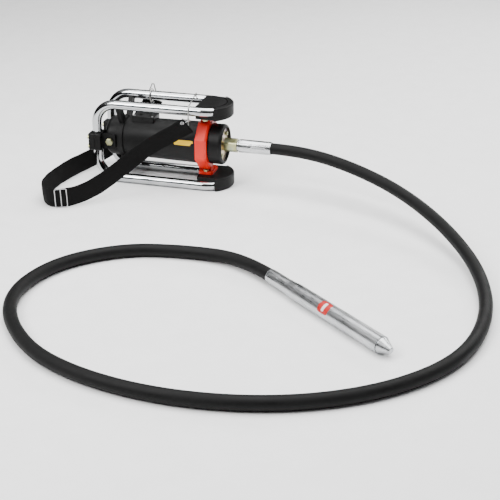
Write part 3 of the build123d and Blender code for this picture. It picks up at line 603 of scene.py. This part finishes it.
# links: a wire oval through an eyelet in each hem, up to what the strap hangs from
link = {
    "wire": 0.0011,
    "inset": 0.008,
    "frontAcross": 0.017,
    "side": 0.0034,
    "spare": 0.0028,
    "steps": 28,
    "eyeletRadius": 0.0042,
    "eyeletWire": 0.0009,
    "eyeletFaces": (0.0019, -0.0040),
    "knotInset": 0.020,
    "knotSideAndHeight": (-0.0669, 0.1965),
    "ringRise": 0.0011,
}
knotSpot = Vector((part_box("strap_wire")[0][0] + link["knotInset"], *link["knotSideAndHeight"]))
ringSpot = boxMiddle("strap_ring")
ringSpot.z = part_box("strap_ring")[0][2] + link["ringRise"]


def ovalLoop(centre, longAxis, longReach, shortAxis, shortReach):
    places = []
    for step in range(link["steps"]):
        turn = 2 * pi * step / link["steps"]
        places.append(centre + longAxis * (longReach * cos(turn)) + shortAxis * (shortReach * sin(turn)))
    return places, True


def hangerLink(index, across, hold):
    direction, width, face = strapFrames[index]
    eye = strapPlaces[index] + width * across
    pull = hold - eye
    longAxis = pull.normalized()
    shortAxis = (face - longAxis * face.dot(longAxis)).normalized()
    oval = ovalLoop((eye + hold) / 2, longAxis, pull.length / 2 + link["spare"], shortAxis, link["side"])
    rims = [
        ovalLoop(eye + face * offset, direction, link["eyeletRadius"], width, link["eyeletRadius"])
        for offset in link["eyeletFaces"]
    ]
    return oval, rims


eyeStep = round(link["inset"] / stripStep)
frontOval, frontRims = hangerLink(eyeStep, link["frontAcross"], knotSpot)
rearOval, rearRims = hangerLink(lastPlace - eyeStep, 0.0, ringSpot)
wirePiece("hangerLinks", [frontOval, rearOval], link["wire"], "motor_unit", "plain_steel")
wirePiece("hemEyelets", frontRims + rearRims, link["eyeletWire"], "motor_unit", "plain_steel")
print("buckle, stitches and links")


# painted marks: plain patches laid on the round housing and the round head
paint = {"thickness": 0.00012, "rows": 20, "columns": 14, "leastReach": 0.05}


def wrapPatch(name, patch, finish, slotName):
    axis = Vector(patch["axis"]).normalized()
    up = Vector((0, 0, 1))
    side = axis.cross(up)
    rows, columns = paint["rows"], paint["columns"]
    verts, faces = [], []
    for row in range(rows + 1):
        part = row / rows * 2 - 1
        reach = (1 - abs(part) ** patch["square"]) ** (1 / patch["square"])
        radius = patch["radius"] + patch["taper"] * row / rows + patch["lift"]
        for column in range(columns + 1):
            across = column / columns * 2 - 1
            angle = radians(patch["angle"] + patch["spread"] * across * max(reach, paint["leastReach"]))
            along = patch["start"] + patch["length"] * row / rows + patch["slant"] * across
            outward = side * cos(angle) + up * sin(angle)
            verts.append(Vector(patch["centre"]) + axis * along + outward * radius)
    for row in range(rows):
        for column in range(columns):
            a = row * (columns + 1) + column
            faces.append((a, a + 1, a + columns + 2, a + columns + 1))
    mesh = bpy.data.meshes.new(name)
    mesh.from_pydata(verts, [], faces)
    mesh.polygons.foreach_set("use_smooth", [True] * len(mesh.polygons))
    mesh.materials.append(finish)
    piece = addPiece(name, mesh, "motor_unit", slotName)
    thickness = piece.modifiers.new("thickness", "SOLIDIFY")
    thickness.thickness = paint["thickness"]
    thickness.offset = 0


axisHeight = sum(corner[2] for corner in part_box("motor_housing")) / 2
housingMark = {
    "centre": (0, 0, axisHeight), "axis": (1, 0, 0), "radius": 0.05514, "taper": 0.0007, "lift": 0.0002,
    "start": 0.047, "length": 0.048, "angle": 14.0, "spread": 7.0, "slant": 0.003, "square": 10,
}
headMark = {
    "centre": [value * mm for value in head["start"]], "axis": head["axis"], "radius": head["radius"],
    "taper": 0.0, "lift": 0.0002,
    "start": 0.186, "length": 0.034, "angle": 52.0, "spread": 46.0, "slant": 0.0, "square": 5,
}
headBar = dict(headMark, lift=0.0004, start=0.199, length=0.008, spread=32.0)
yellowPaint = coatFinish("yellowPaint", (0.85, 0.52, 0.003), (0.95, 0.62, 0.006), 0.5, 500, 0.08)
redFilm = coatFinish("redFilm", (0.42, 0.004, 0.004), (0.5, 0.007, 0.006), 0.4, 400, 0.06)
whiteFilm = coatFinish("whiteFilm", (0.72, 0.72, 0.72), (0.82, 0.82, 0.82), 0.4, 400, 0.06)
wrapPatch("housingBar", housingMark, yellowPaint, "black_coat")
wrapPatch("headBand", headMark, redFilm, "bright_steel")
wrapPatch("headBandBar", headBar, whiteFilm, "bright_steel")
print("marks")
